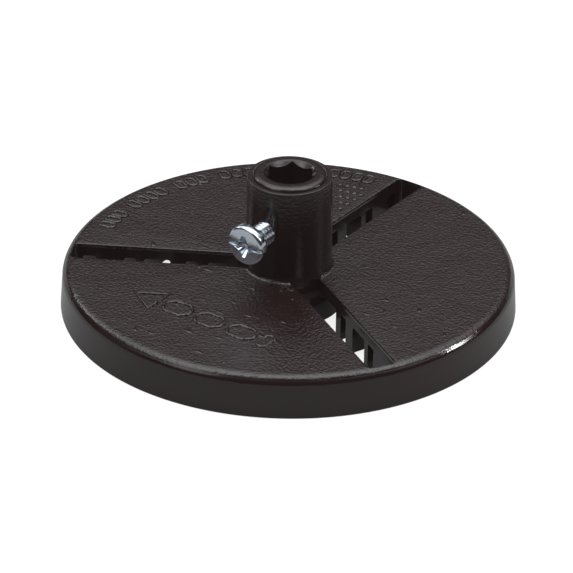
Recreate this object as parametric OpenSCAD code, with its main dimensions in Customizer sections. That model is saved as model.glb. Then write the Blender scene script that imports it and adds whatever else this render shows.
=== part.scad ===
// Holder plate for ring-shaped hole saw blades. A round casting carries an upright
// hub with a hexagonal socket for the drill arbor, and a screw in the side of the
// hub clamps the arbor. Round grooves under the plate seat the saw rings, and three
// slots let the chips out. Millimetres, +Z up, origin on the underside's centre.

/* [Plate] */
// Outside diameter of the plate at its underside
plate_d = 111; // [110:0.5:125]
// Outside diameter under the top rounding, smaller by the casting draft
plate_top_d = 110; // [109:0.5:110]
// Height of the plate from its underside to its top face
plate_h = 10.5; // [10:0.5:14]
// Thickness of the top web over the grooves
web_t = 3.2; // [3:0.1:4]
// Rounding of the top outer edge
edge_r = 2.6; // [1:0.1:2.8]
// Inside diameter of the rim
rim_inner_d = 102.5; // [101:0.1:104]

/* [Chip slots] */
// Number of radial slots
slot_count = 3; // [1:1:4]
// Width of a slot
slot_w = 6.8; // [5:0.1:8]
// Distance from the centre to a slot's outer end
slot_reach = 53.1; // [51.4:0.1:53.4]
// Corner radius at a slot's outer end
slot_corner_r = 1; // [0.5:0.1:1.5]

/* [Ring ribs] */
// Middle diameter of the inner rib
inner_rib_d = 43.5; // [43:0.1:44]
// Width of the inner rib
inner_rib_w = 2.6; // [1.5:0.1:3]
// Middle diameter of the second rib
second_rib_d = 55.6; // [55:0.1:56.5]
// Width of the second rib
second_rib_w = 3.8; // [2:0.1:4.2]
// Middle diameter of the third rib
third_rib_d = 74.2; // [73.5:0.1:75]
// Width of the third rib
third_rib_w = 1.9; // [1.5:0.1:2.5]
// Middle diameter of the outer rib
outer_rib_d = 89; // [88:0.1:90]
// Width of the outer rib
outer_rib_w = 6.9; // [4:0.1:7.5]

/* [Hub] */
// Diameter of the hub at the plate
hub_base_d = 21; // [20.6:0.1:23]
// Diameter of the hub at its top, smaller by the casting draft
hub_top_d = 20.5; // [19:0.1:20.5]
// Height of the hub's top face above the underside
hub_top_z = 35.4; // [32:0.1:42]
// Rounding of the hub's top edge
hub_edge_r = 1.7; // [0.5:0.1:2]
// Rounding where the hub meets the plate
hub_root_r = 0.8; // [0.3:0.1:1]
// Diameter of the boss that carries the hub below the web
boss_d = 26.2; // [25:0.1:28]
// Width of the hexagonal socket across its flats
socket_af = 10.5; // [8:0.1:11]
// Mouth diameter of the socket's lead-in chamfer
socket_mouth_d = 12.6; // [12.2:0.1:13.4]
// Depth of the lead-in chamfer
socket_mouth_h = 1.2; // [0.5:0.1:2]

/* [Clamp screw] */
// Height of the screw's axis above the underside
screw_z = 23; // [20:0.5:26]
// Outside diameter of the thread
thread_d = 5.9; // [5.9:0.01:5.96]
// Diameter of the tapped hole in the hub wall
tapped_d = 6; // [6:0.01:6.02]
// Length of the thread under the head
thread_l = 10; // [9.5:0.1:10]
// Length of the thread's plain end
point_l = 2; // [1:0.1:3]
// Chamfer on the end of the thread
point_chamfer = 0.6; // [0.2:0.1:0.9]
// Diameter of the head
head_d = 10; // [9:0.1:10.5]
// Height of the head
head_h = 2.8; // [2.5:0.1:4]
// Rounding of the head's front edge
head_edge_r = 0.9; // [0.3:0.1:1.2]
// Distance from the hub's axis to the underside of the head
head_stand_off = 16; // [16:0.1:17]
// Span of the cross recess
cross_span = 5.6; // [4:0.1:6]
// Width of an arm of the cross recess
cross_w = 1.5; // [0.8:0.1:1.6]
// Depth of the cross recess
cross_depth = 1.7; // [1:0.1:2]
// Width of the driver slot across the head
head_slot_w = 1.2; // [0.8:0.1:1.4]
// Depth of the driver slot across the head
head_slot_depth = 1; // [0.5:0.1:1.2]

/* [Hidden] */
$fn = 96;
casting_black = [0.11, 0.10, 0.10];
zinc = [0.74, 0.78, 0.84];
// Overlap of a cutter past the face that it cuts
past = 1;
plate_r = plate_d / 2;
plate_top_r = plate_top_d / 2;
hub_base_r = hub_base_d / 2;
hub_top_r = hub_top_d / 2;
boss_r = boss_d / 2;
// Underside of the web, which is the roof of every groove
web_z = plate_h - web_t;
arc_steps = 8;

// Outside radius of the plate at a height below its top rounding
function side_r(z) = plate_r - (plate_r - plate_top_r) * z / (plate_h - edge_r);

// Points of a quarter circle from angle a to angle a + 90
function quarter(cx, cy, r, a, steps = arc_steps) =
    [for (i = [0 : steps]) [cx + r * cos(a + 90 * i / steps), cy + r * sin(a + 90 * i / steps)]];

// Same points in the opposite order
function quarter_back(cx, cy, r, a, steps = arc_steps) =
    [for (i = [steps : -1 : 0]) [cx + r * cos(a + 90 * i / steps), cy + r * sin(a + 90 * i / steps)]];

// Outline of one slot, from the middle of the plate to its rounded outer end
module slot_outline() {
    half_w = slot_w / 2;
    polygon(concat(
        [[0, -half_w]],
        quarter(slot_reach - slot_corner_r, -half_w + slot_corner_r, slot_corner_r, -90),
        quarter(slot_reach - slot_corner_r, half_w - slot_corner_r, slot_corner_r, 0),
        [[0, half_w]]
    ));
}

// All the slots, as prisms from z_low to z_high
module slots(z_low, z_high) {
    for (i = [0 : slot_count - 1])
        rotate([0, 0, 90 + i * 360 / slot_count])
            translate([0, 0, z_low])
                linear_extrude(z_high - z_low)
                    slot_outline();
}

// Ring between two radii, from the underside up to the web
module ring(r_in, r_out) {
    difference() {
        cylinder(h = web_z, r = r_out);
        translate([0, 0, -past])
            cylinder(h = web_z + 2 * past, r = r_in);
    }
}

// Rib of a given middle diameter and width, cut through by the slots
module ring_rib(middle_d, width) {
    color(casting_black)
        difference() {
            ring((middle_d - width) / 2, (middle_d + width) / 2);
            slots(-past, web_z + past);
        }
}

// Top web with its rounded outer edge, slots and a hole for the hub
module web_plate() {
    color(casting_black)
        difference() {
            rotate_extrude()
                polygon(concat(
                    [[0, web_z], [side_r(web_z), web_z]],
                    quarter(plate_top_r - edge_r, plate_h - edge_r, edge_r, 0),
                    [[0, plate_h]]
                ));
            slots(web_z - past, plate_h + past);
            translate([0, 0, web_z - past])
                cylinder(h = web_t + 2 * past, r = hub_base_r);
        }
}

// Outer wall below the web, thinned where the slots reach into it
module rim() {
    color(casting_black)
        difference() {
            cylinder(h = web_z, r1 = plate_r, r2 = side_r(web_z));
            translate([0, 0, -past])
                cylinder(h = web_z + 2 * past, d = rim_inner_d);
            slots(-past, web_z + past);
        }
}

// Hub and boss as a turned outline, without the socket or the tapped hole
module hub_blank() {
    root_z = plate_h + hub_root_r;
    rotate_extrude()
        polygon(concat(
            [[0, 0], [boss_r, 0], [boss_r, web_z], [hub_base_r, web_z], [hub_base_r, plate_h]],
            quarter_back(hub_base_r + hub_root_r, root_z, hub_root_r, 180),
            quarter(hub_top_r - hub_edge_r, hub_top_z - hub_edge_r, hub_edge_r, 0),
            [[0, hub_top_z]]
        ));
}

// Parts of the slots outside the hub, which cut its root rounding away
module slots_past_hub() {
    difference() {
        slots(plate_h - past, plate_h + hub_root_r + past);
        translate([0, 0, plate_h - 2 * past])
            cylinder(h = hub_root_r + 4 * past, r = hub_base_r);
    }
}

// Hub with its hexagonal socket, the chamfered mouth and the tapped hole
module hub() {
    color(casting_black)
        difference() {
            hub_blank();
            slots_past_hub();
            translate([0, 0, -past])
                cylinder(h = hub_top_z + 2 * past, d = socket_af / cos(30), $fn = 6);
            translate([0, 0, hub_top_z - socket_mouth_h])
                cylinder(h = socket_mouth_h, d1 = socket_af, d2 = socket_mouth_d);
            translate([0, 0, screw_z])
                rotate([90, 0, 0])
                    cylinder(h = hub_base_r + past, d = tapped_d);
        }
}

// Places a child on the screw's axis, with its own +Z pointing out of the hub
module on_screw_axis(distance) {
    translate([0, -distance, screw_z])
        rotate([90, 0, 0])
            children();
}

// Cross recess, and the driver slot that runs along one of its arms across the head
module driver_recess() {
    for (turn = [0, 90])
        rotate([0, 0, turn])
            translate([-cross_span / 2, -cross_w / 2, head_h - cross_depth])
                cube([cross_span, cross_w, cross_depth + past]);
    translate([-head_d, -head_slot_w / 2, head_h - head_slot_depth])
        cube([2 * head_d, head_slot_w, head_slot_depth + past]);
}

// Screw head and thread, drawn from the end of the plain point outwards
module clamp_screw() {
    color(zinc) {
        on_screw_axis(head_stand_off)
            difference() {
                rotate_extrude()
                    polygon(concat(
                        [[0, 0], [head_d / 2, 0]],
                        quarter(head_d / 2 - head_edge_r, head_h - head_edge_r, head_edge_r, 0),
                        [[0, head_h]]
                    ));
                driver_recess();
            }
        on_screw_axis(head_stand_off - thread_l + point_l)
            cylinder(h = thread_l - point_l, d = thread_d);
    }
}

// Chamfered end of the screw, which bears on the arbor
module screw_point() {
    color(zinc)
        on_screw_axis(head_stand_off - thread_l)
            rotate_extrude()
                polygon([
                    [0, 0],
                    [thread_d / 2 - point_chamfer, 0],
                    [thread_d / 2, point_chamfer],
                    [thread_d / 2, point_l],
                    [0, point_l]
                ]);
}

web_plate();
rim();
ring_rib(inner_rib_d, inner_rib_w);  // inner_rib
ring_rib(second_rib_d, second_rib_w);  // second_rib
ring_rib(third_rib_d, third_rib_w);  // third_rib
ring_rib(outer_rib_d, outer_rib_w);  // outer_rib
hub();
clamp_screw();
screw_point();
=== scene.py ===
import math

import bmesh
import bpy
from mathutils import Matrix, Vector


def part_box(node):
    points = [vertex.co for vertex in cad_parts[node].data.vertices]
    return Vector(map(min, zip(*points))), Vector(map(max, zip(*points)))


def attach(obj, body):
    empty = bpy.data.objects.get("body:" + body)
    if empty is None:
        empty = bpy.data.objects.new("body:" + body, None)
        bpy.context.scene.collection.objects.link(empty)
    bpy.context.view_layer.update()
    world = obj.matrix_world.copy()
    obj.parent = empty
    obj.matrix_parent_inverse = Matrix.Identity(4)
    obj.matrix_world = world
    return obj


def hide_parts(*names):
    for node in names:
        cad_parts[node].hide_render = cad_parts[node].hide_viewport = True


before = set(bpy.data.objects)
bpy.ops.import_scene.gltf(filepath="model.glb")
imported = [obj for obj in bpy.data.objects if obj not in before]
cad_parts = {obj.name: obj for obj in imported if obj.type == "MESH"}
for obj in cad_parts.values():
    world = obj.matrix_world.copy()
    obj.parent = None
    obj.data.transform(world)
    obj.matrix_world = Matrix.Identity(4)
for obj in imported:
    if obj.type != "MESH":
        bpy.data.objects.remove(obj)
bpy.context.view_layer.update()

# ---------------------------------------------------------------------------
# Plate casting: one die casting with a gloss black coating, made of the web, the
# rim, four ring ribs and the hub. Its round shape is turned as one outline here,
# and the chip slots, the arbor socket and the tapped hole are cut through it.
# ---------------------------------------------------------------------------
MM = 0.001


def reach(node):
    """Smallest and largest distance of a CAD node's corners from the hub's axis."""
    radii = [v.co.xy.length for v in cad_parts[node].data.vertices]
    return min(radii), max(radii)


plate_r = reach("rim")[1]
plate_draft = 0.5 * MM
plate_top_r = plate_r - plate_draft
rim_inner_r = reach("rim")[0]
hub_base_r = reach("web_plate")[0]
boss_r = reach("hub")[1]
web_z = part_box("web_plate")[0].z
plate_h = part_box("web_plate")[1].z
hub_top_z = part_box("hub")[1].z
rib_names = ["inner_rib", "second_rib", "third_rib", "outer_rib"]

edge_r = 2.6 * MM
foot_edge_r = 0.4 * MM
groove_root_r = 0.6 * MM
hub_root_r = 0.8 * MM
hub_draft = 0.25 * MM
hub_top_r = hub_base_r - hub_draft
hub_crown_r = 1.4 * MM
hub_face_r = 7.75 * MM
lip_drop = 0.95 * MM
lip_groove = 0.12 * MM
lip_groove_w = 0.05 * MM
lip_edge_r = 0.22 * MM
mouth_r = 6.15 * MM
mouth_edge_r = 0.25 * MM
mouth_depth = 1.2 * MM
mouth_step = 1.05 * MM
casting_steps = 360


def arc(centre, radius, start, end, steps=6):
    """Points of an arc in the plane of distance from the axis and height.

    radius is one number, or two for an ellipse. Angles are in degrees.
    """
    across, up = radius if isinstance(radius, tuple) else (radius, radius)
    angles = [math.radians(start + (end - start) * i / steps) for i in range(steps + 1)]
    return [(centre[0] + across * math.cos(a), centre[1] + up * math.sin(a)) for a in angles]


def foot_and_groove(inner, outer, next_wall):
    """Outline of one rib's foot, its outer wall and the groove as far as the next wall."""
    foot = foot_edge_r
    root = groove_root_r
    start = [] if inner == 0 else arc((inner + foot, foot), foot, 180, 270)
    return (
        start
        + arc((outer - foot, foot), foot, 270, 360)
        + arc((outer + root, web_z - root), root, 180, 90)
        + arc((next_wall - root, web_z - root), root, 90, 0)
    )


def turn(name, outline, steps):
    """Turns an outline that starts and ends on the z axis into a closed mesh object."""
    shape = bmesh.new()
    low = shape.verts.new((0, 0, outline[0][1]))
    high = shape.verts.new((0, 0, outline[-1][1]))
    rings = []
    for distance, height in outline[1:-1]:
        ring = []
        for i in range(steps):
            a = 2 * math.pi * i / steps
            ring.append(shape.verts.new((distance * math.cos(a), distance * math.sin(a), height)))
        rings.append(ring)
    for i in range(steps):
        j = (i + 1) % steps
        shape.faces.new((low, rings[0][j], rings[0][i]))
        for below, above in zip(rings, rings[1:]):
            shape.faces.new((below[i], below[j], above[j], above[i]))
        shape.faces.new((high, rings[-1][i], rings[-1][j]))
    return as_object(name, shape)


def as_object(name, shape):
    """Writes a bmesh into a new object in the scene."""
    bmesh.ops.recalc_face_normals(shape, faces=shape.faces)
    mesh = bpy.data.meshes.new(name)
    shape.to_mesh(mesh)
    shape.free()
    piece = bpy.data.objects.new(name, mesh)
    bpy.context.scene.collection.objects.link(piece)
    return piece


def cut(piece, tool, operation="DIFFERENCE"):
    """Cuts a tool out of a piece, or adds it to the piece, and throws the tool away."""
    step = piece.modifiers.new(operation.lower(), "BOOLEAN")
    step.object = tool
    step.operation = operation
    step.solver = "MANIFOLD"
    graph = bpy.context.evaluated_depsgraph_get()
    worked = bpy.data.meshes.new_from_object(piece.evaluated_get(graph))
    piece.modifiers.clear()
    piece.data = worked
    bpy.data.objects.remove(tool)


def smooth(piece, crease=math.radians(38)):
    """Shades a piece smooth up to its creases, with its large faces kept flat."""
    piece.data.shade_smooth()
    piece.data.set_sharp_from_angle(angle=crease)
    normals = piece.modifiers.new("flat faces", "WEIGHTED_NORMAL")
    normals.mode = "FACE_AREA"
    normals.weight = 100
    normals.keep_sharp = True


walls = [reach(name) for name in rib_names] + [(rim_inner_r, plate_r)]
feet = [(0, boss_r)] + walls[:-1]
outline = [(0, 0)]
for (inner, outer), (next_wall, _) in zip(feet, walls):
    outline += foot_and_groove(inner, outer, next_wall)
outline += arc((rim_inner_r + foot_edge_r, foot_edge_r), foot_edge_r, 180, 270)
outline += arc((plate_r - foot_edge_r, foot_edge_r), foot_edge_r, 270, 360)
outline += arc((plate_top_r - edge_r, plate_h - edge_r), edge_r, 0, 90, 12)
outline += arc((hub_base_r + hub_root_r, plate_h + hub_root_r), hub_root_r, 270, 180)
lip_z = hub_top_z - lip_drop
outline += arc((hub_top_r - lip_edge_r, lip_z - lip_edge_r), lip_edge_r, 0, 90, 4)
outline += [(hub_face_r + hub_crown_r + lip_groove_w, lip_z - lip_groove)]
outline += arc((hub_face_r, hub_top_z - hub_crown_r), hub_crown_r, 14, 90, 12)
outline += arc((mouth_r + mouth_edge_r, hub_top_z - mouth_edge_r), mouth_edge_r, 90, 140, 4)
outline += [(0, hub_top_z - mouth_r * mouth_depth / mouth_step)]
casting = turn("casting", outline, casting_steps)

# Chip slots, which stop at the boss below the web and at the hub above it
slot_half_w = 3.4 * MM
slot_reach = 53.1 * MM
slot_corner_r = 1 * MM
slot_edge_r = 0.45 * MM
slot_angles = [90, 210, 330]
slot_flare = 75
shelf_lift = 0.1 * MM
hub_gap = 0.02 * MM
overlap = 0.5 * MM


def slot_outline(grown, inner_r):
    """Outline of a slot along x that is grown outwards and ends on a round hub."""
    half = slot_half_w + grown
    end = slot_reach + grown
    corner = slot_corner_r + grown
    steps = 12
    inner_arc = []
    for i in range(steps + 1):
        y = half - 2 * half * i / steps
        inner_arc.append((math.sqrt(inner_r**2 - y**2), y))
    return (
        inner_arc
        + arc((end - corner, corner - half), corner, 270, 360)
        + arc((end - corner, half - corner), corner, 0, 90)
    )


def slot_tool(name, inner_r, levels):
    """Cutter for all the slots; levels are heights and how far the slot has grown there."""
    shape = bmesh.new()
    for angle in slot_angles:
        place = Matrix.Rotation(math.radians(angle), 4, "Z")
        rings = []
        for height, grown in levels:
            rings.append(
                [shape.verts.new(place @ Vector((x, y, height))) for x, y in slot_outline(grown, inner_r)]
            )
        count = len(rings[0])
        for below, above in zip(rings, rings[1:]):
            for i in range(count):
                j = (i + 1) % count
                shape.faces.new((below[i], below[j], above[j], above[i]))
        shape.faces.new(rings[0])
        shape.faces.new(rings[-1])
    return as_object(name, shape)


def rounded_edge(height, radius, way):
    """Levels of a slot that opens up to a rounded edge at a height, upwards or downwards."""
    steps = 5
    run = 0.1 * MM
    past_face = 1.2 * MM
    levels = []
    for i in range(steps + 1):
        a = math.radians(slot_flare * i / steps)
        drop = radius * (math.sin(math.radians(slot_flare)) - math.sin(a))
        levels.append((height - way * drop, radius * (1 - math.cos(a))))
    grown = levels[-1][1] + run * math.tan(math.radians(slot_flare))
    levels += [(height + way * run, grown), (height + way * past_face, grown)]
    return levels


lower_levels = rounded_edge(0, foot_edge_r, -1)[::-1] + [(web_z + overlap, 0)]
cut(casting, slot_tool("lower slots", boss_r + hub_gap, lower_levels))
upper_levels = [(web_z + shelf_lift, 0)] + rounded_edge(plate_h, slot_edge_r, 1)
cut(casting, slot_tool("upper slots", hub_base_r + hub_gap, upper_levels))

# Hexagonal arbor socket, with one flat towards the clamp screw
socket_af = 10.5 * MM
past_ends = 1 * MM
socket = bmesh.new()
corner_r = socket_af / 2 / math.cos(math.radians(30))
corners = [(corner_r * math.cos(math.radians(60 * i)), corner_r * math.sin(math.radians(60 * i)))
           for i in range(6)]
bottom = [socket.verts.new((x, y, -past_ends)) for x, y in corners]
top = [socket.verts.new((x, y, hub_top_z + past_ends)) for x, y in corners]
for i in range(6):
    socket.faces.new((bottom[i], bottom[i - 1], top[i - 1], top[i]))
socket.faces.new(bottom)
socket.faces.new(top)
cut(casting, as_object("arbor socket", socket))

# Tapped hole for the clamp screw, with a small countersink on the hub
screw_low, screw_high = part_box("clamp_screw")
screw_z = (screw_low.z + screw_high.z) / 2
tapped_r = 3 * MM
countersink = 0.35 * MM
hub_wall_y = hub_base_r - 0.6 * hub_draft
hole = turn(
    "tapped hole",
    [
        (0, 0),
        (tapped_r, 0),
        (tapped_r, hub_wall_y - countersink),
        (tapped_r + 3 * countersink, hub_wall_y + 2 * countersink),
        (0, hub_wall_y + 2 * countersink),
    ],
    72,
)
hole.data.transform(Matrix.Translation((0, 0, screw_z)) @ Matrix.Rotation(math.radians(90), 4, "X"))
cut(casting, hole)

# Raised marks on the web, in place of lettering: a turning arrow with empty blocks
# behind it, small blocks along the rim, and rows of studs
mark_w = 0.95 * MM
mark_h = 0.45 * MM
mark_sunk = 0.3 * MM
stud_d = 1.5 * MM
mark_rise = [(-0.5, -mark_sunk), (-0.46, 0.15 * mark_h), (-0.33, 0.6 * mark_h), (-0.16, 0.9 * mark_h)]
mark_section = mark_rise + [(0, mark_h)] + [(-across, up) for across, up in mark_rise[::-1]]
marks = bmesh.new()


def ridge(points):
    """Adds a raised line along a closed outline on the web's top face."""
    count = len(points)
    rings = []
    for i, point in enumerate(points):
        before = (point - points[i - 1]).normalized()
        after = (points[(i + 1) % count] - point).normalized()
        way = (before + after).normalized()
        side = Vector((-way.y, way.x)) / way.dot(before)
        rings.append([
            marks.verts.new((*(point + side * across * mark_w), plate_h + up))
            for across, up in mark_section
        ])
    size = len(mark_section)
    for i in range(count):
        ring, following = rings[i], rings[(i + 1) % count]
        for k in range(size):
            m = (k + 1) % size
            marks.faces.new((ring[k], ring[m], following[m], following[k]))


def stud(radius, angle):
    """Adds a raised round stud at a distance from the hub and an angle in degrees."""
    sides = 12
    a = math.radians(angle)
    centre = Vector((radius * math.cos(a), radius * math.sin(a), plate_h))
    rings = []
    for across, up in mark_rise:
        reach_out = -across * stud_d
        ring = []
        for i in range(sides):
            b = 2 * math.pi * i / sides
            spoke = Vector((reach_out * math.cos(b), reach_out * math.sin(b), up))
            ring.append(marks.verts.new(centre + spoke))
        rings.append(ring)
    for below, above in zip(rings, rings[1:]):
        for i in range(sides):
            marks.faces.new((below[i - 1], below[i], above[i], above[i - 1]))
    marks.faces.new(rings[0])
    tip = marks.verts.new(centre + Vector((0, 0, mark_h)))
    for i in range(sides):
        marks.faces.new((rings[-1][i - 1], rings[-1][i], tip))


def block(left, right, low, high, turned=0):
    """Adds the raised outline of a block with cut corners, turned round the hub in degrees."""
    c = 0.3 * min(right - left, high - low)
    corners = [(left + c, low), (right - c, low), (right, low + c), (right, high - c),
               (right - c, high), (left + c, high), (left, high - c), (left, low + c)]
    place = Matrix.Rotation(math.radians(turned), 2)
    ridge([place @ Vector(p) for p in corners])


arrow_y = -34 * MM
arrow_half = 4.1 * MM
arrow_tip_x = -20.4 * MM
arrow_back_x = -13.6 * MM
ridge([Vector((arrow_tip_x, arrow_y)), Vector((arrow_back_x, arrow_y - arrow_half)),
       Vector((arrow_back_x, arrow_y + arrow_half))])
tail_half = 2.6 * MM
# Left and right end of each block, in millimetres
tail_blocks = [(-11.5, -4.2), (-2.1, 5.2), (7.3, 14.6), (16.6, 19.2)]
for left, right in tail_blocks:
    block(left * MM, right * MM, arrow_y - tail_half, arrow_y + tail_half)

rim_block_in = 46.6 * MM
rim_block_out = 50.4 * MM
rim_block_half = 1.1 * MM
rim_block_start = 101
rim_block_step = 3.7
for mark in range(27):
    if mark % 9 not in (4, 8):
        block(rim_block_in, rim_block_out, -rim_block_half, rim_block_half,
              rim_block_start + rim_block_step * mark)

stud_spacing = 1.9 * MM
slot_to_stud = 6 * MM
for row in range(6):
    radius = (28 + 3 * row) * MM
    step = math.degrees(stud_spacing / radius)
    first = math.degrees(slot_to_stud / radius) + 90
    for place in range(7):
        if (2 * row + 3 * place) % 5:
            stud(radius, first + step * place)
cut(casting, as_object("raised marks", marks), "UNION")
smooth(casting)


class Wiring:
    """Short way to add nodes to a tree and join their sockets."""

    def __init__(self, tree):
        self.tree = tree

    def add(self, kind, inputs=None, **settings):
        node = self.tree.nodes.new(kind)
        for key, value in settings.items():
            setattr(node, key, value)
        for key, value in (inputs or {}).items():
            if isinstance(value, bpy.types.NodeSocket):
                self.tree.links.new(value, node.inputs[key])
            else:
                node.inputs[key].default_value = value
        return node

    def math(self, operation, *values):
        node = self.add("ShaderNodeMath", dict(enumerate(values)), operation=operation)
        return node.outputs[0]

    def noise(self, vector, scale, detail=2.0, rough=0.5):
        inputs = {"Vector": vector, "Scale": scale, "Detail": detail, "Roughness": rough}
        return self.add("ShaderNodeTexNoise", inputs).outputs["Fac"]

    def remap(self, value, low, high, to_low=0.0, to_high=1.0):
        inputs = {"Value": value, "From Min": low, "From Max": high,
                  "To Min": to_low, "To Max": to_high}
        return self.add("ShaderNodeMapRange", inputs).outputs["Result"]

    def stretch(self, vector, scale):
        inputs = {"Vector": vector, "Scale": scale}
        return self.add("ShaderNodeMapping", inputs).outputs["Vector"]

    def blend(self, factor, a, b):
        node = self.add("ShaderNodeMix", data_type="RGBA")
        self.tree.links.new(factor, node.inputs["Factor"])
        for key, value in ((6, a), (7, b)):
            if isinstance(value, bpy.types.NodeSocket):
                self.tree.links.new(value, node.inputs[key])
            else:
                node.inputs[key].default_value = (*value, 1)
        return node.outputs[2]


def fresh_group(name, inputs, outputs):
    """New shader node group with named number or vector inputs and number outputs."""
    group = bpy.data.node_groups.new(name, "ShaderNodeTree")
    for label, kind in inputs:
        group.interface.new_socket(label, in_out="INPUT", socket_type=kind)
    for label in outputs:
        group.interface.new_socket(label, in_out="OUTPUT", socket_type="NodeSocketFloat")
    return group, Wiring(group)


# Shared effect: scattered round pimples, from 0 on the surface to 1 on their tops
pimple_group, wires = fresh_group(
    "pimples",
    [("Vector", "NodeSocketVector"), ("Spacing", "NodeSocketFloat"), ("Share", "NodeSocketFloat")],
    ["Dome"],
)
source = wires.add("NodeGroupInput").outputs
rate = wires.math("DIVIDE", 1.0, source["Spacing"])
scaled = wires.add("ShaderNodeVectorMath", {0: source["Vector"]}, operation="SCALE")
wires.tree.links.new(rate, scaled.inputs["Scale"])
cells = wires.add("ShaderNodeTexVoronoi", {"Vector": scaled.outputs[0], "Scale": 1.0})
chance = wires.add("ShaderNodeSeparateColor", {0: cells.outputs["Color"]}).outputs
present = wires.math("LESS_THAN", chance[0], source["Share"])
size = wires.remap(chance[1], 0.0, 1.0, 0.10, 0.24)
nearness = wires.math("DIVIDE", cells.outputs["Distance"], size)
dome = wires.add("ShaderNodeMapRange", {"Value": nearness, "From Min": 1.0, "From Max": 0.0},
                 interpolation_type="SMOOTHSTEP").outputs["Result"]
wires.add("NodeGroupOutput", {"Dome": wires.math("MULTIPLY", dome, present)})


def fresh_material(name):
    """New material with a Principled BSDF, its wiring and the object's coordinates."""
    material = bpy.data.materials.new(name)
    material.use_nodes = True
    wires = Wiring(material.node_tree)
    shader = material.node_tree.nodes["Principled BSDF"]
    coords = wires.add("ShaderNodeTexCoord").outputs["Object"]
    return material, wires, shader, coords


def pimples(wires, coords, spacing, share):
    """Places the pimple group in a material and returns its height."""
    node = wires.add("ShaderNodeGroup", node_tree=pimple_group)
    wires.tree.links.new(coords, node.inputs["Vector"])
    node.inputs["Spacing"].default_value = spacing
    node.inputs["Share"].default_value = share
    return node.outputs["Dome"]


def coat(piece, material):
    """Gives all of a piece's faces one material."""
    piece.data.materials.clear()
    piece.data.materials.append(material)
    for polygon in piece.data.polygons:
        polygon.material_index = 0


# Gloss black coating over the rough skin of the die casting
black, wires, shader, coords = fresh_material("black coating")
ripple = wires.noise(coords, 1250.0, 2.0, 0.55)
swell = wires.noise(coords, 95.0, 2.0)
brushed = wires.noise(wires.stretch(coords, (1.0, 1.0, 7.0)), 300.0, 3.0)
height_here = wires.add("ShaderNodeSeparateXYZ", {0: coords}).outputs["Z"]
on_hub = wires.remap(height_here, plate_h + 0.5 * MM, plate_h + 1.5 * MM)
skin = wires.math("MULTIPLY_ADD", ripple, 0.23, wires.math("MULTIPLY", swell, 0.2))

# Specks in three layers: drawn out along x, drawn out askew, and round
along_x = wires.stretch(coords, (0.40, 1.0, 1.0))
askew = wires.add("ShaderNodeVectorRotate", {"Vector": coords, "Angle": math.radians(50)},
                  rotation_type="Z_AXIS").outputs[0]
askew = wires.stretch(askew, (0.45, 1.0, 1.0))
for way, spacing, share, height in (
    (along_x, 2.9 * MM, 0.24, 0.36), (askew, 2.7 * MM, 0.24, 0.36), (coords, 2.2 * MM, 0.25, 0.20)
):
    skin = wires.math("MULTIPLY_ADD", pimples(wires, way, spacing, share), height, skin)

# The skin is rough on the top face, smoother on the walls and turned on the hub
on_top = wires.remap(height_here, plate_h - 0.9 * MM, plate_h - 0.1 * MM, 0.10, 1.0)
skin = wires.math("MULTIPLY", skin, on_top)
turned = wires.math("MULTIPLY_ADD", brushed, 0.035, wires.math("MULTIPLY", ripple, 0.06))
skin_mix = wires.add("ShaderNodeMix", {0: on_hub, 2: skin, 3: turned}, data_type="FLOAT")
bump = wires.add("ShaderNodeBump", {"Height": skin_mix.outputs[0], "Distance": MM})
wires.tree.links.new(bump.outputs["Normal"], shader.inputs["Normal"])
tone = wires.blend(swell, (0.0100, 0.0050, 0.0050), (0.0125, 0.0062, 0.0062))
wires.tree.links.new(tone, shader.inputs["Base Color"])
gloss = wires.remap(wires.noise(coords, 180.0, 2.0), 0.3, 0.7, 0.12, 0.20)
wires.tree.links.new(gloss, shader.inputs["Roughness"])
shader.inputs["IOR"].default_value = 1.5

coat(casting, black)
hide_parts("web_plate", "rim", *rib_names, "hub")
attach(casting, "casting")

# ---------------------------------------------------------------------------
# Clamp screw: an M6 steel screw with bright bluish zinc plating. Its low domed
# head has a star-shaped cross recess that a driver slot crosses, and its rolled
# thread runs into the hub's tapped hole.
# ---------------------------------------------------------------------------
point_low, point_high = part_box("screw_point")
face_y = -screw_low.y
under_head_y = 16 * MM
head_r = (screw_high.z - screw_low.z) / 2
head_edge_r = 0.85 * MM
head_seat_r = 0.25 * MM
head_dome = 0.45 * MM
dome_fall = 1.35 * head_dome
thread_r = 2.92 * MM
thread_root_r = 2.42 * MM
pitch = 1 * MM
thread_start_y = -point_low.y
recess_depth = 1.7 * MM
driver_slot_w = 1.2 * MM
driver_slot_depth = 1 * MM
on_screw_axis = Matrix.Translation((0, 0, screw_z)) @ Matrix.Rotation(math.radians(90), 4, "X")

head = turn(
    "screw head",
    [(0, under_head_y), (head_r - head_seat_r, under_head_y)]
    + arc((head_r - head_seat_r, under_head_y + head_seat_r), head_seat_r, 270, 360, 4)[1:]
    + arc((head_r - head_edge_r, face_y - head_dome - head_edge_r), head_edge_r, 0, 84, 10)
    + [(head_r * k, face_y - dome_fall * k * k) for k in (0.75, 0.6, 0.45, 0.3, 0.15)]
    + [(0, face_y)],
    144,
)


def recess_tool(name, plan, depth, pinch):
    """Cutter with an outline in the face's plane that closes in towards its floor."""
    shape = bmesh.new()
    rings = []
    for height, scale in ((face_y + overlap, 1 + pinch * overlap / depth), (face_y - depth, 1 - pinch)):
        rings.append([shape.verts.new((x * scale, y * scale, height)) for x, y in plan])
    count = len(plan)
    for i in range(count):
        shape.faces.new((rings[0][i], rings[0][i - 1], rings[1][i - 1], rings[1][i]))
    shape.faces.new(rings[0])
    shape.faces.new(rings[1])
    return as_object(name, shape)


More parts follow.
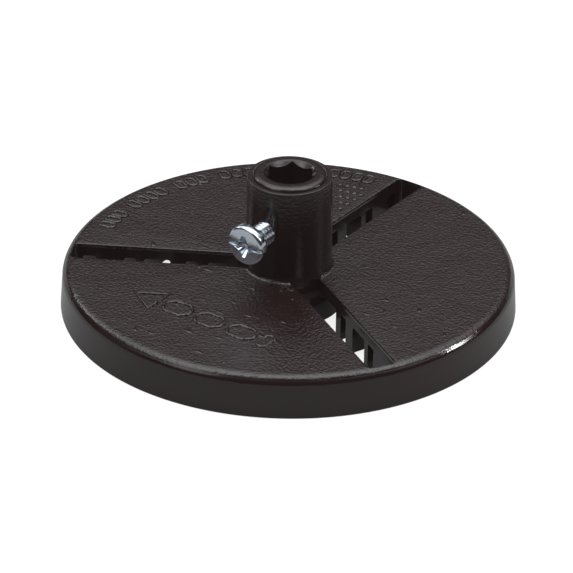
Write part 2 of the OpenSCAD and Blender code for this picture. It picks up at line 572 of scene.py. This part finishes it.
# One arm of the recess and the inner corner beside it, turned four times
star = []
for quarter in range(4):
    spin = Matrix.Rotation(math.radians(90 * quarter), 2)
    for x, y in ((2.6, -0.75), (3.0, -0.45), (3.0, 0.45), (2.6, 0.75), (1.5, 1.1), (1.1, 1.5)):
        star.append(spin @ Vector((x * MM, y * MM)))
half_l = 1.5 * head_r
half_w = driver_slot_w / 2
bar = [(-half_l, -half_w), (half_l, -half_w), (half_l, half_w), (-half_l, half_w)]
recess_pinch = 0.55
cut(head, recess_tool("cross recess", star, recess_depth, recess_pinch))
cut(head, recess_tool("driver slot", bar, driver_slot_depth, 0))

# Right-hand thread as a turned skin. Its radius rises from the root to the crest
# and falls back once in every pitch, and it ends a little way inside the head.
thread_end_y = under_head_y + 0.3 * MM
flank_slope = 2.6
root_flat = 0.15
rows_per_turn = 14
around = 72


def threaded(name, start_y, end_y, limit):
    """Threaded rod along the screw's axis; limit gives the largest radius at a distance."""
    shape = bmesh.new()
    row_count = int((end_y - start_y) / pitch * rows_per_turn)
    rings = []
    for row in range(row_count + 1):
        y = start_y + (end_y - start_y) * row / row_count
        ring = []
        for i in range(around):
            a = 2 * math.pi * i / around
            phase = (y / pitch - i / around) % 1
            flank = min(1, max(0, flank_slope * abs(phase - 0.5) - root_flat))
            radius = min(limit(y), thread_root_r + (thread_r - thread_root_r) * flank)
            ring.append(shape.verts.new((radius * math.cos(a), radius * math.sin(a), y)))
        rings.append(ring)
    for below, above in zip(rings, rings[1:]):
        for i in range(around):
            j = (i + 1) % around
            shape.faces.new((below[i], below[j], above[j], above[i]))
    shape.faces.new(rings[0])
    shape.faces.new(rings[-1])
    return as_object(name, shape)


cut(head, threaded("screw thread", thread_start_y, thread_end_y, lambda y: thread_r), "UNION")
head.name = "clamp_screw_body"
head.data.transform(on_screw_axis)
thread_crease = math.radians(32)
smooth(head, thread_crease)

zinc, wires, shader, coords = fresh_material("bright zinc")
specks = pimples(wires, coords, 0.9 * MM, 0.35)
cloud = wires.noise(coords, 420.0, 3.0)
tint = wires.blend(cloud, (0.60, 0.66, 0.76), (0.74, 0.78, 0.84))
stain = wires.remap(specks, 0.0, 1.0, 0.0, 0.5)
tint = wires.blend(stain, tint, (0.35, 0.37, 0.40))
wires.tree.links.new(tint, shader.inputs["Base Color"])
shader.inputs["Metallic"].default_value = 1.0
polish = wires.remap(cloud, 0.3, 0.7, 0.10, 0.20)
wires.tree.links.new(polish, shader.inputs["Roughness"])
relief = wires.math("MULTIPLY_ADD", specks, 0.5, cloud)
bump = wires.add("ShaderNodeBump", {"Height": relief, "Distance": 0.010 * MM})
wires.tree.links.new(bump.outputs["Normal"], shader.inputs["Normal"])

coat(head, zinc)
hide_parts("clamp_screw")
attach(head, "screw")

# ---------------------------------------------------------------------------
# Screw point: the chamfered end of the same screw, which bears on the arbor's
# flat. Its thread carries on from the screw's, and it is a piece of its own
# because the screw's helical travel needs a sliding and a turning part.
# ---------------------------------------------------------------------------
point_y = -point_high.y
point_chamfer = 0.6 * MM
joint_gap = 0.02 * MM
point = threaded("screw_end", point_y, thread_start_y - joint_gap,
                 lambda y: thread_r - point_chamfer + y - point_y)
point.data.transform(on_screw_axis)
smooth(point, thread_crease)
coat(point, zinc)
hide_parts("screw_point")
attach(point, "screw_thread")

# ---------------------------------------------------------------------------
# Studio: a plain pale floor, a bright overcast of soft light from above and
# behind, three soft lamps, and a narrow one that only lights the rim's edge.
# ---------------------------------------------------------------------------
# Direction that the camera looks in, from +Y, which the lights are set round too
heading = math.radians(35.511)
floor_half = 4.0
floor_gap = 0.02 * MM
shape = bmesh.new()
shape.faces.new([shape.verts.new((x, y, 0)) for x, y in (
    (-floor_half, -floor_half), (floor_half, -floor_half),
    (floor_half, floor_half), (-floor_half, floor_half))])
floor = as_object("floor", shape)
floor.location.z = -floor_gap
if floor.data.polygons[0].normal.z < 0:
    floor.data.flip_normals()
paper, wires, shader, coords = fresh_material("pale paper")
mottle = wires.noise(coords, 40.0, 2.0)
paper_tone = wires.blend(mottle, (0.20, 0.20, 0.20), (0.22, 0.22, 0.22))
wires.tree.links.new(paper_tone, shader.inputs["Base Color"])
shader.inputs["Roughness"].default_value = 0.9
shader.inputs["Specular IOR Level"].default_value = 0.0
shader.inputs["Emission Color"].default_value = (1, 1, 1, 1)
shader.inputs["Emission Strength"].default_value = 0.12

# The paper looks brighter to the camera than the light that it sends to the object
glow = wires.add("ShaderNodeEmission", {"Strength": 0.70}).outputs[0]
lit = wires.add("ShaderNodeAddShader", {0: shader.outputs[0], 1: glow}).outputs[0]
seen = wires.add("ShaderNodeLightPath").outputs["Is Camera Ray"]
surface = wires.add("ShaderNodeMixShader", {0: seen, 1: shader.outputs[0], 2: lit}).outputs[0]
wires.tree.links.new(surface, paper.node_tree.nodes["Material Output"].inputs["Surface"])
floor.data.materials.append(paper)

# Brightness of the surroundings, by the angle from the far horizon over the top
overcast = [
    (0, 0.05), (20, 0.07), (28, 0.10), (38, 0.80), (50, 1.5), (67, 2.0), (79, 2.6), (88, 3.7),
    (103, 4.05), (115, 2.6), (127, 0.6), (137, 0.05), (180, 0.05),
]
overcast_peak = 4.2
overcast_tint = (0.96, 0.99, 1.0)
world = bpy.data.worlds.new("studio")
bpy.context.scene.world = world
world.use_nodes = True
wires = Wiring(world.node_tree)
background = world.node_tree.nodes["Background"]
way = wires.add("ShaderNodeTexCoord").outputs["Generated"]
turned_way = wires.add("ShaderNodeVectorRotate", {"Vector": way, "Angle": -heading},
                       rotation_type="Z_AXIS").outputs[0]
parts = wires.add("ShaderNodeSeparateXYZ", {0: turned_way}).outputs
over = wires.math("DIVIDE", wires.math("ARCTAN2", parts["Z"], parts["Y"]), math.pi)
ramp = wires.add("ShaderNodeValToRGB", {"Fac": over})
stops = ramp.color_ramp.elements
stops[0].position, stops[1].position = 0.0, 1.0
for angle, _ in overcast[1:-1]:
    stops.new(angle / 180)
for stop, (angle, light) in zip(stops, overcast):
    level = light / overcast_peak
    stop.position = angle / 180
    stop.color = (*(level * tint for tint in overcast_tint), 1)
sideways = wires.math("ABSOLUTE", parts["X"])
band = wires.remap(sideways, 0.88, 0.60, 0.04, 1.0)
wires.tree.links.new(ramp.outputs["Color"], background.inputs["Color"])
wires.tree.links.new(wires.math("MULTIPLY", band, overcast_peak), background.inputs["Strength"])


hub_middle = Vector((0, 0, 20 * MM))


def lamp(name, azimuth, elevation, distance, width, radiance, target=hub_middle, beam=180):
    """Round soft lamp that faces a target, placed by angles from the camera's right."""
    a = math.radians(azimuth) + heading
    e = math.radians(elevation)
    way = Vector((math.cos(a) * math.cos(e), math.sin(a) * math.cos(e), math.sin(e)))
    light = bpy.data.lights.new(name, "AREA")
    light.shape = "DISK"
    light.size = width
    light.spread = math.radians(beam)
    light.energy = radiance * math.pi * math.pi * (width / 2) ** 2
    holder = bpy.data.objects.new(name, light)
    holder.location = target + way * distance
    holder.rotation_euler = way.to_track_quat("Z", "Y").to_euler()
    holder.visible_camera = False
    bpy.context.scene.collection.objects.link(holder)


rim_spot_angle = heading - math.radians(42)
rim_spot = Matrix.Rotation(rim_spot_angle, 3, "Z") @ Vector((plate_top_r, 0, plate_h))
lamp("rim lamp", 2, 23, 0.13, 0.024, 0.5, target=rim_spot, beam=16)
lamp("right lamp", 2, 23, 0.8, 0.15, 7.0)
lamp("far left lamp", 144, 26, 0.8, 0.22, 3.4)
lamp("near left fill", -140, 33, 0.8, 0.34, 1.3)

# Camera, placed in plate radii along its own axes: aside, up and back
tilt = math.radians(29.362)
roll = math.radians(0.736)
aside = -0.00853
rise = 0.06122
distance = 14.948088
camera = bpy.data.objects.new("camera", bpy.data.cameras.new("camera"))
camera.data.lens = 211.24
camera.data.sensor_width = 36
right = Vector((1, 0, 0))
up = Vector((0, math.sin(tilt), math.cos(tilt)))
back = Vector((0, -math.cos(tilt), math.sin(tilt)))
place = plate_top_r * (aside * right + rise * up + distance * back)
aim = Matrix((right, up, back)).transposed().to_4x4()
camera.matrix_world = (
    Matrix.Rotation(heading, 4, "Z")
    @ Matrix.Translation(place)
    @ aim
    @ Matrix.Rotation(roll, 4, "Z")
)
bpy.context.scene.collection.objects.link(camera)
bpy.context.scene.camera = camera

# Plain view of the colours, with the slight haze of a lens over the darkest parts
picture = bpy.context.scene.view_settings
picture.view_transform = "Standard"
picture.use_curve_mapping = True
picture.curve_mapping.black_level = (-0.0062, -0.0045, -0.0045)
picture.curve_mapping.update()
